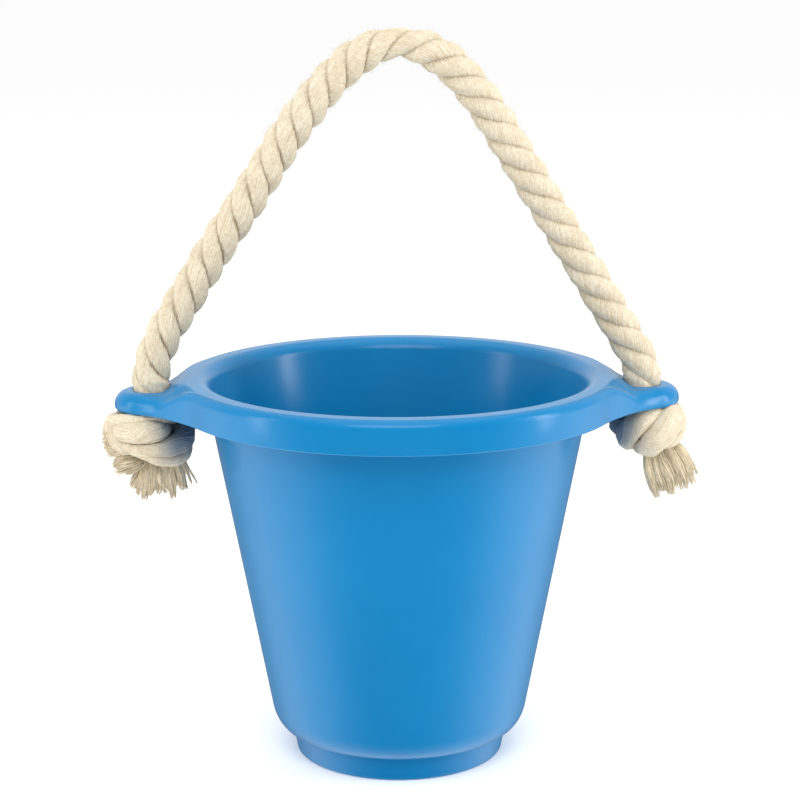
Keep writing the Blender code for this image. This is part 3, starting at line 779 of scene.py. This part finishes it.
def knot_core(centre, half):
    """The rounded middle of a knot, which shows only between its bands, with painted shade all over."""
    core = bmesh.new()
    bmesh.ops.create_uvsphere(core, u_segments=32, v_segments=20, radius=MM)
    points = np.array([vert.co for vert in core.verts]) * np.array(half) + np.array(centre) * MM
    faces = [[vert.index for vert in face.verts] for face in core.faces]
    core.free()
    # Painted shade on the whole core.
    painted_shade = np.full(len(points), CORE_SHADE)
    return points, faces, {"painted_shade": painted_shade, "tone_and_groove_shade": np.zeros(len(points)), "fibre": points / HAIR_FIBRE}


def tapered_tube(line, sizes, sides, tone_and_groove_shade, painted_shade, seed):
    """A closed tube of varying radius along a line, with the cotton's attributes."""
    side = carried_side(line, LOCK_FIRST_SIDE)
    third = np.cross(tangents(line), side)
    angles = ring_angles(sides)
    points = swept(line, side, third, sizes[:, None] * np.cos(angles), sizes[:, None] * np.sin(angles))
    along = np.concatenate([[0.0], np.cumsum(np.linalg.norm(np.diff(line, axis=0), axis=1))])
    shape = (len(line), sides)
    around = max(LEAST_FIBRE_TURN, float(sizes.mean()) / FIBRE_ACROSS)
    attributes = {
        "painted_shade": np.broadcast_to(painted_shade[:, None], shape).ravel(),
        "tone_and_groove_shade": np.full(shape, tone_and_groove_shade).ravel(),
        "fibre": fibre_places(shape, around, along / LOOSE_FIBRE_ALONG + LOCK_FIBRE_SHIFT * seed),
    }
    return points.reshape(-1, 3), tube_faces(*shape), attributes


def lock_body(centre, radius, share, seed):
    """The soft body of a lock, which narrows towards its tip, with painted shade at its root."""
    stop = int(CLUMP_BODY_LENGTH * len(centre))
    size = radius * CLUMP_BODY_SHARE * (1.0 - CLUMP_BODY_TAPER * rise(share, *CLUMP_BODY_TAPERS))
    size = size * (1.0 + CLUMP_BODY_SWELL * np.sin(share * CLUMP_BODY_WAVES + seed))
    # Painted shade at the root.
    painted_shade = CLUMP_BODY_ROOT_SHADE * (1.0 - smooth_step(share / CLUMP_BODY_ROOT_SHADE_END))
    return tapered_tube(centre[:stop], size[:stop], CLUMP_BODY_SIDES, CLUMP_BODY_TONE, painted_shade[:stop], seed)


def lock_fibre(centre, radius, share, side, third, number):
    """One crimped fibre of a lock. It drifts outwards, its tip is drawn back to the others, and it has
    painted shade at its root and deep in the lock.
    """
    angle = rng.uniform(0.0, FULL_TURN)
    out = math.sqrt(rng.uniform(FIBRE_CORE_SHARE, 1.0))
    drift = rng.normal(0.0, FIBRE_DRIFT, 2)
    wave = FIBRE_WAVE * np.sin(share * rng.uniform(*FIBRE_WAVES) + rng.uniform(*WAVE_PHASES))
    offset = np.array([math.cos(angle), math.sin(angle)]) * out
    place = offset[None, :] + drift[None, :] * share[:, None] ** 2
    place = place * (1.0 - FIBRE_TIPS_DRAWN * rise(share[:, None], *FIBRE_TIPS))
    line = centre + (place[:, 0] * radius + wave)[:, None] * side + (place[:, 1] * radius)[:, None] * third
    last = int(len(line) * min(1.0, rng.uniform(*FIBRE_LENGTHS))) - 1
    picks = np.round(np.linspace(0, last, FIBRE_RINGS)).astype(int)
    steps = np.linspace(0.0, 1.0, FIBRE_RINGS)
    size = FIBRE_RADIUS * rng.uniform(*FIBRE_RADIUS_RANGE)
    size = size * (1.0 - FIBRE_TAPER * rise(steps, *FIBRE_TAPERS))
    # Painted shade at the root and on fibres deep inside the lock.
    painted_shade = FIBRE_ROOT_SHADE * (1.0 - smooth_step(share[picks] / FIBRE_ROOT_SHADE_END))
    painted_shade = painted_shade + FIBRE_INNER_SHADE * (1.0 - out) * (1.0 - steps)
    tone_and_groove_shade = rng.normal(FIBRE_TONE, FIBRE_TONE_SPREAD)
    return tapered_tube(line[picks], size, FIBRE_SIDES, tone_and_groove_shade, painted_shade, number)


def clump(root_radius, tip_radius, count, path, seed):
    """A lock of untwisted strand: a soft body and many fine fibres that spread at the tip."""
    path = np.array(path, float) * MM
    length = np.linalg.norm(np.diff(path, axis=0), axis=1).sum()
    line, along = smooth_line(path, length / (2 * FIBRE_RINGS))
    share = along / along[-1]
    side = carried_side(line, LOCK_FIRST_SIDE)
    third = np.cross(tangents(line), side)
    radius = (root_radius + (tip_radius - root_radius) * share) * MM
    wave = np.sin(share * rng.uniform(*CLUMP_WAVES) + rng.uniform(*WAVE_PHASES))
    centre = line + (CLUMP_WAVE_SHARE * root_radius * MM * wave)[:, None] * side
    body = lock_body(centre, radius, share, seed)
    return [body] + [lock_fibre(centre, radius, share, side, third, number) for number in range(count)]


def build_knot(side, material):
    """A knot's strands and, as a piece of its own, the frayed ends that come out of it."""
    knot = KNOTS[side]
    middle = np.array(knot["centre"]) * MM
    bands = [knot_core(knot["centre"], knot["core"])]
    for number, band in enumerate(knot["bands"]):
        bands.append(knot_band(*band, knot["centre"], number + 1))
    wraps = add_piece(f"knot_{side}_wraps", bands, material)
    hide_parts(f"rope_knot_{side}")
    chunks = []
    for number, lock in enumerate(knot["clumps"]):
        chunks += clump(*lock, number)

    def outside(point, outward):
        return np.linalg.norm(outward) > KNOT_HAIR_REACH and point[2] < SKIRT_BOTTOM - KNOT_HAIR_HEADROOM
    chunks += hairs(bands[1:], lambda point: middle, KNOT_HAIRS, outside)
    fray = add_piece(f"knot_{side}_fray", chunks, material, loose=True)
    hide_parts(f"rope_tail_{side}")
    return wraps, fray


# ---------------------------------------------------------------- bucket moulding

WALL = 0.0022
FOOT_BOTTOM_RADIUS = 0.0400
FOOT_HEIGHT = 0.0095
FOOT_DRAFT = 0.0016
FOOT_EDGE_ROUND = 0.0010
FOOT_RING_WIDTH = 0.0050
FOOT_RECESS = 0.0022
RECESS_DRAFT = 0.0004
SHOULDER_WIDTH = 0.0080
SHOULDER_DEPTH = 0.0125
WALL_RADIUS_AT_BASE = 0.04578
WALL_TAPER = math.radians(10.8)
FLOOR_FILLET = 0.0025
RIM_HEIGHT = 0.1477
RIM_RADIUS = 0.0831
RIM_LIP_ROUND = 0.0055
RIM_OUTER_ROUND = 0.0033
SKIRT_BOTTOM = 0.1353
SKIRT_WALL = 0.0024
SKIRT_EDGE_ROUND = 0.0007
EAR_HOLE_X = 0.0930
EAR_TIP_RADIUS = 0.0140
EAR_BLEND_ANGLE = math.radians(27.5)
EAR_DROP = 0.0049
EAR_OUTER_ROUND = 0.0052
EAR_EDGE_ROUND = 0.0018
SADDLE_LENGTH = 0.0100
HOLE_RADIUS = 0.0069
HOLE_EDGE_ROUND = 0.0005
SLEEVE_RADIUS = 0.0122
SLEEVE_GAP = 0.0003
SLEEVE_BOTTOM = SKIRT_BOTTOM + SLEEVE_GAP
SLEEVE_TOP = RIM_HEIGHT - EAR_DROP - WALL + SLEEVE_GAP
TIP_STEPS = 20
FAIRING_STEPS = 40
RIM_STEPS = 56
ARC_STEPS = 8
LIP_STEPS = 12
EDGE_STEPS = 6
FOOT_EDGE_STEPS = 5
SHOULDER_STEPS = 16
TURNED_STEPS = 96
SHARP_ANGLE = math.radians(32)
PLATE_STATIONS = np.linspace(0.03, 0.97, 32)
UNDERSIDE_STATIONS = np.linspace(0.0, 1.0, 12)


def arc(centre, radius, start, end, steps=ARC_STEPS):
    """Points on an arc in the (radius, height) plane, from one angle to another in degrees."""
    angles = np.radians(np.linspace(start, end, steps + 1))
    return [(centre[0] + radius * math.cos(a), centre[1] + radius * math.sin(a)) for a in angles]


def wall_radius(height):
    return WALL_RADIUS_AT_BASE + height * math.tan(WALL_TAPER)


def fairing_circle():
    """Centre and radius of the hollow arc that runs from the rim's circle to the ear's tip."""
    step_in = RIM_RADIUS - EAR_TIP_RADIUS
    lean = EAR_HOLE_X * math.cos(EAR_BLEND_ANGLE) - step_in
    distance = (EAR_HOLE_X**2 - step_in**2) / (2.0 * lean)
    direction = Vector((math.cos(EAR_BLEND_ANGLE), math.sin(EAR_BLEND_ANGLE)))
    return direction * distance, distance - RIM_RADIUS


def tip_angle():
    """Direction of the point where the ear's round tip meets its hollow fairing."""
    centre, _ = fairing_circle()
    tip_centre = Vector((EAR_HOLE_X, 0.0))
    tangent_point = tip_centre + (centre - tip_centre).normalized() * EAR_TIP_RADIUS
    return math.atan2(tangent_point.y, tangent_point.x)


def rim_edge(angle):
    """Distance from the bucket's axis to the outer edge of the rim or ear along a direction, and
    how much wider the edge's rounding is along it, because the edge is crossed at a slant.
    """
    if angle >= EAR_BLEND_ANGLE:
        return RIM_RADIUS, 1.0
    direction = Vector((math.cos(angle), math.sin(angle)))
    if angle <= tip_angle():
        centre, radius, far_side = Vector((EAR_HOLE_X, 0.0)), EAR_TIP_RADIUS, 1.0
    else:
        centre, radius = fairing_circle()
        far_side = -1.0
    along = centre.dot(direction)
    across = (centre - direction * along).length
    half_chord = math.sqrt(radius**2 - across**2)
    return along + far_side * half_chord, radius / half_chord


def ear_share(reach):
    """How far the section has changed from the rim's to the ear's, from 0 to 1."""
    return float(smooth_step((reach - RIM_RADIUS) / SADDLE_LENGTH))


def top_height(radius, reach):
    """Height of the rim's top plate, which sinks over a saddle to the ear's lower top."""
    saddle = min(reach - RIM_RADIUS, SADDLE_LENGTH)
    if saddle <= 0.0:
        return RIM_HEIGHT
    sink = float(smooth_step((radius - RIM_RADIUS + RIM_OUTER_ROUND) / saddle))
    return RIM_HEIGHT - EAR_DROP * ear_share(reach) * sink


def shoulder(inset):
    """Quarter ellipse from the tapered wall in to the foot, set in from the outer surface."""
    width = SHOULDER_WIDTH - inset
    depth = SHOULDER_DEPTH - inset
    centre_height = FOOT_HEIGHT + SHOULDER_DEPTH
    start = math.atan(math.tan(WALL_TAPER) * depth / width)
    start_height = centre_height - depth * math.sin(start)
    centre_radius = wall_radius(start_height) - inset / math.cos(WALL_TAPER) - width * math.cos(start)
    angles = np.linspace(start, math.pi / 2.0, SHOULDER_STEPS + 1)
    return [(centre_radius + width * math.cos(a), centre_height - depth * math.sin(a)) for a in angles]


def inside_outline():
    """Inside of the bucket, from the middle of the floor up to the rounded lip."""
    floor = FOOT_RECESS + WALL
    foot_inside = FOOT_BOTTOM_RADIUS + FOOT_DRAFT / 2.0 - WALL
    wall_start = list(reversed(shoulder(WALL)))
    points = [(0.0, floor), (foot_inside / 2.0, floor)]
    points += arc((foot_inside - FLOOR_FILLET, floor + FLOOR_FILLET), FLOOR_FILLET, -90, 0)
    points.append((foot_inside + FOOT_DRAFT / 2.0, wall_start[0][1]))
    points += wall_start
    lip_height = RIM_HEIGHT - RIM_LIP_ROUND
    lip_centre = wall_radius(lip_height) + (RIM_LIP_ROUND - WALL) / math.cos(WALL_TAPER)
    points += arc((lip_centre, lip_height), RIM_LIP_ROUND, 180 - math.degrees(WALL_TAPER), 90, LIP_STEPS)
    return points


def rim_outline(reach, slant, lip_end):
    """Top plate, rounded outer edge, skirt and underside, at a direction with this edge."""
    points = []
    outer_round = RIM_OUTER_ROUND + (EAR_OUTER_ROUND - RIM_OUTER_ROUND) * ear_share(reach)
    edge_round = SKIRT_EDGE_ROUND + (EAR_EDGE_ROUND - SKIRT_EDGE_ROUND) * ear_share(reach)
    plate_end = reach - outer_round * slant
    for station in PLATE_STATIONS:
        radius = lip_end + (plate_end - lip_end) * station
        points.append((radius, top_height(radius, reach)))
    for outward, upward in arc((0.0, 0.0), outer_round, 90, 0, LIP_STEPS):
        radius = plate_end + outward * slant
        points.append((radius, top_height(radius, reach) - outer_round + upward))
    for outward, height in arc((-edge_round, SKIRT_BOTTOM + edge_round), edge_round, 0, -90, EDGE_STEPS):
        points.append((reach + outward * slant, height))
    skirt_inside = reach - SKIRT_WALL * slant
    points.append((skirt_inside, SKIRT_BOTTOM))
    root = wall_radius(RIM_HEIGHT - WALL)
    for station in UNDERSIDE_STATIONS:
        radius = skirt_inside + (root - skirt_inside) * station
        points.append((radius, top_height(radius, reach) - WALL))
    return points


def outside_outline():
    """Outside of the bucket, from the shoulder down to the middle of the recessed base."""
    points = shoulder(0.0)
    foot_edge = FOOT_BOTTOM_RADIUS - FOOT_EDGE_ROUND
    points += arc((foot_edge, FOOT_EDGE_ROUND), FOOT_EDGE_ROUND, 0, -90, FOOT_EDGE_STEPS)
    ring_inside = FOOT_BOTTOM_RADIUS - FOOT_RING_WIDTH
    points += [(ring_inside, 0.0), (ring_inside - RECESS_DRAFT, FOOT_RECESS)]
    points += [(ring_inside / 2.0, FOOT_RECESS), (0.0, FOOT_RECESS)]
    return points


def direction_angles():
    """Directions of the moulding's sections, closer together where an ear curves sharply."""
    tip = tip_angle()
    quarter = list(np.linspace(0.0, tip, TIP_STEPS, endpoint=False))
    quarter += list(np.linspace(tip, EAR_BLEND_ANGLE, FAIRING_STEPS, endpoint=False))
    quarter += list(np.linspace(EAR_BLEND_ANGLE, math.pi / 2.0, RIM_STEPS, endpoint=False))
    half = quarter + [math.pi / 2.0] + [math.pi - angle for angle in reversed(quarter[1:])]
    return half + [math.pi + angle for angle in half]


def link_mesh(name, build_mesh):
    mesh = bpy.data.meshes.new(name)
    build_mesh.to_mesh(mesh)
    build_mesh.free()
    item = bpy.data.objects.new(name, mesh)
    bpy.context.scene.collection.objects.link(item)
    return item


def turned_solid(name, profile, x):
    """A closed solid turned from (radius, height) points round an upright axis at x."""
    build_mesh = bmesh.new()
    rings = []
    for radius, height in profile:
        ring = []
        for angle in ring_angles(TURNED_STEPS):
            place = (x + radius * math.cos(angle), radius * math.sin(angle), height)
            ring.append(build_mesh.verts.new(place))
        rings.append(ring)
    for lower, upper in zip(rings, rings[1:]):
        for step in range(TURNED_STEPS):
            turn = (step + 1) % TURNED_STEPS
            build_mesh.faces.new((lower[step], lower[turn], upper[turn], upper[step]))
    build_mesh.faces.new(list(reversed(rings[0])))
    build_mesh.faces.new(rings[-1])
    bmesh.ops.recalc_face_normals(build_mesh, faces=build_mesh.faces)
    return link_mesh(name, build_mesh)


def apply_boolean(body, other, operation):
    modifier = body.modifiers.new(operation.lower(), "BOOLEAN")
    modifier.object = other
    modifier.operation = operation
    modifier.solver = "EXACT"
    shaped = bpy.data.meshes.new_from_object(body.evaluated_get(bpy.context.evaluated_depsgraph_get()))
    body.modifiers.clear()
    body.data = shaped
    bpy.data.objects.remove(other)


def build_moulding(material):
    """The bucket: the wall's section lofted round the axis, with a sleeved rope hole in each ear."""
    inside = inside_outline()
    outside = outside_outline()
    build_mesh = bmesh.new()
    floor_pole = build_mesh.verts.new((0.0, 0.0, inside[0][1]))
    base_pole = build_mesh.verts.new((0.0, 0.0, outside[-1][1]))
    sections = []
    for angle in direction_angles():
        folded = min(angle % math.pi, math.pi - angle % math.pi)
        reach, slant = rim_edge(folded)
        outline = inside[1:] + rim_outline(reach, slant, inside[-1][0]) + outside[:-1]
        across = Vector((math.cos(angle), math.sin(angle), 0.0))
        sections.append([build_mesh.verts.new(across * r + Vector((0.0, 0.0, z))) for r, z in outline])
    for index, section in enumerate(sections):
        following = sections[(index + 1) % len(sections)]
        build_mesh.faces.new((floor_pole, section[0], following[0]))
        for low in range(len(section) - 1):
            build_mesh.faces.new((section[low], section[low + 1], following[low + 1], following[low]))
        build_mesh.faces.new((base_pole, following[-1], section[-1]))
    bmesh.ops.recalc_face_normals(build_mesh, faces=build_mesh.faces)
    body = link_mesh("bucket_moulding", build_mesh)
    top = RIM_HEIGHT - EAR_DROP
    edge = HOLE_RADIUS + HOLE_EDGE_ROUND
    lower_round = arc((edge, SLEEVE_BOTTOM + HOLE_EDGE_ROUND), HOLE_EDGE_ROUND, 270, 180)
    upper_round = arc((edge, top - HOLE_EDGE_ROUND), HOLE_EDGE_ROUND, 180, 90)
    bore_profile = [(edge, SLEEVE_BOTTOM - WALL), *lower_round, *upper_round, (edge, top + WALL)]
    for sign in (-1, 1):
        sleeve = turned_solid("sleeve", [(SLEEVE_RADIUS, SLEEVE_BOTTOM), (SLEEVE_RADIUS, SLEEVE_TOP)],
                              sign * EAR_HOLE_X)
        apply_boolean(body, sleeve, "UNION")
        bore = turned_solid("bore", bore_profile, sign * EAR_HOLE_X)
        apply_boolean(body, bore, "DIFFERENCE")
    body.data.materials.clear()
    body.data.materials.append(material)
    body.data.shade_smooth()
    body.data.set_sharp_from_angle(angle=SHARP_ANGLE)
    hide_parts("bucket_body")
    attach(body, "bucket")
    return body


# ---------------------------------------------------------------- surroundings

def area_light(name, place, size, power):
    data = bpy.data.lights.new(name, "AREA")
    data.shape = "RECTANGLE"
    data.size, data.size_y = size
    data.energy = power
    light = bpy.data.objects.new(name, data)
    light.location = place
    light.rotation_euler = (Vector(LAMP_AIM) - Vector(place)).to_track_quat("-Z", "Y").to_euler()
    bpy.context.scene.collection.objects.link(light)


def build_world():
    """White studio surroundings, dimmer towards the front, where a room has no lamps.

    Below the horizon only reflections see it: dark in front, bright at both sides.
    """
    world = bpy.data.worlds.new("studio")
    world.use_nodes = True
    tree = Tree(world.node_tree)
    direction = tree.add("ShaderNodeTexCoord").outputs["Generated"]
    parts = tree.add("ShaderNodeSeparateXYZ", {0: direction}).outputs
    above = tree.smooth_ramp(parts["Y"], -1.0, 0.05, FRONT_LEVEL, 1.0)
    rising = tree.smooth_ramp(parts["Y"], -0.75, -0.10, LOW_FRONT_LEVEL, LOW_SIDE_LEVEL)
    falling = tree.smooth_ramp(parts["Y"], 0.15, 0.85, 1.0, LOW_BACK_SHARE)
    below = tree.maths("MULTIPLY", rising, falling)
    share_above = tree.smooth_ramp(parts["Z"], -0.06, 0.02)
    gain = tree.maths("MULTIPLY", tree.maths("SUBTRACT", above, below), share_above)
    background = tree.nodes["Background"]
    tree.links.new(tree.maths("ADD", below, gain), background.inputs["Strength"])
    background.inputs["Color"].default_value = (1.0, 1.0, 1.0, 1.0)
    bpy.context.scene.world = world


def build_surroundings():
    """A white floor and soft studio light from above and both sides."""
    build_mesh = bmesh.new()
    bmesh.ops.create_circle(build_mesh, cap_ends=True, segments=TURNED_STEPS, radius=FLOOR_RADIUS)
    floor = link_mesh("studio_floor", build_mesh)
    material, white = new_material("floor_white")
    white.shader.inputs["Base Color"].default_value = (0.93, 0.93, 0.93, 1.0)
    white.shader.inputs["Roughness"].default_value = 0.9
    white.shader.inputs["Specular IOR Level"].default_value = 0.0
    white.shader.inputs["Emission Color"].default_value = (1.0, 1.0, 1.0, 1.0)
    white.shader.inputs["Emission Strength"].default_value = FLOOR_GLOW
    floor.data.materials.append(material)
    floor.location.z = -FLOOR_GAP
    floor.visible_glossy = False
    build_world()
    bpy.context.scene.view_settings.view_transform = "Standard"
    for lamp in LAMPS:
        area_light(*lamp)


make_camera()
cotton = cotton_material()
rope, rope_fuzz, rope_path, rope_along = build_rope(cotton)
for side in ("left", "right"):
    for piece in build_knot(side, cotton):
        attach(piece, "bucket")
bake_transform(rope)
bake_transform(rope_fuzz)
build_moulding(plastic_material())
build_surroundings()
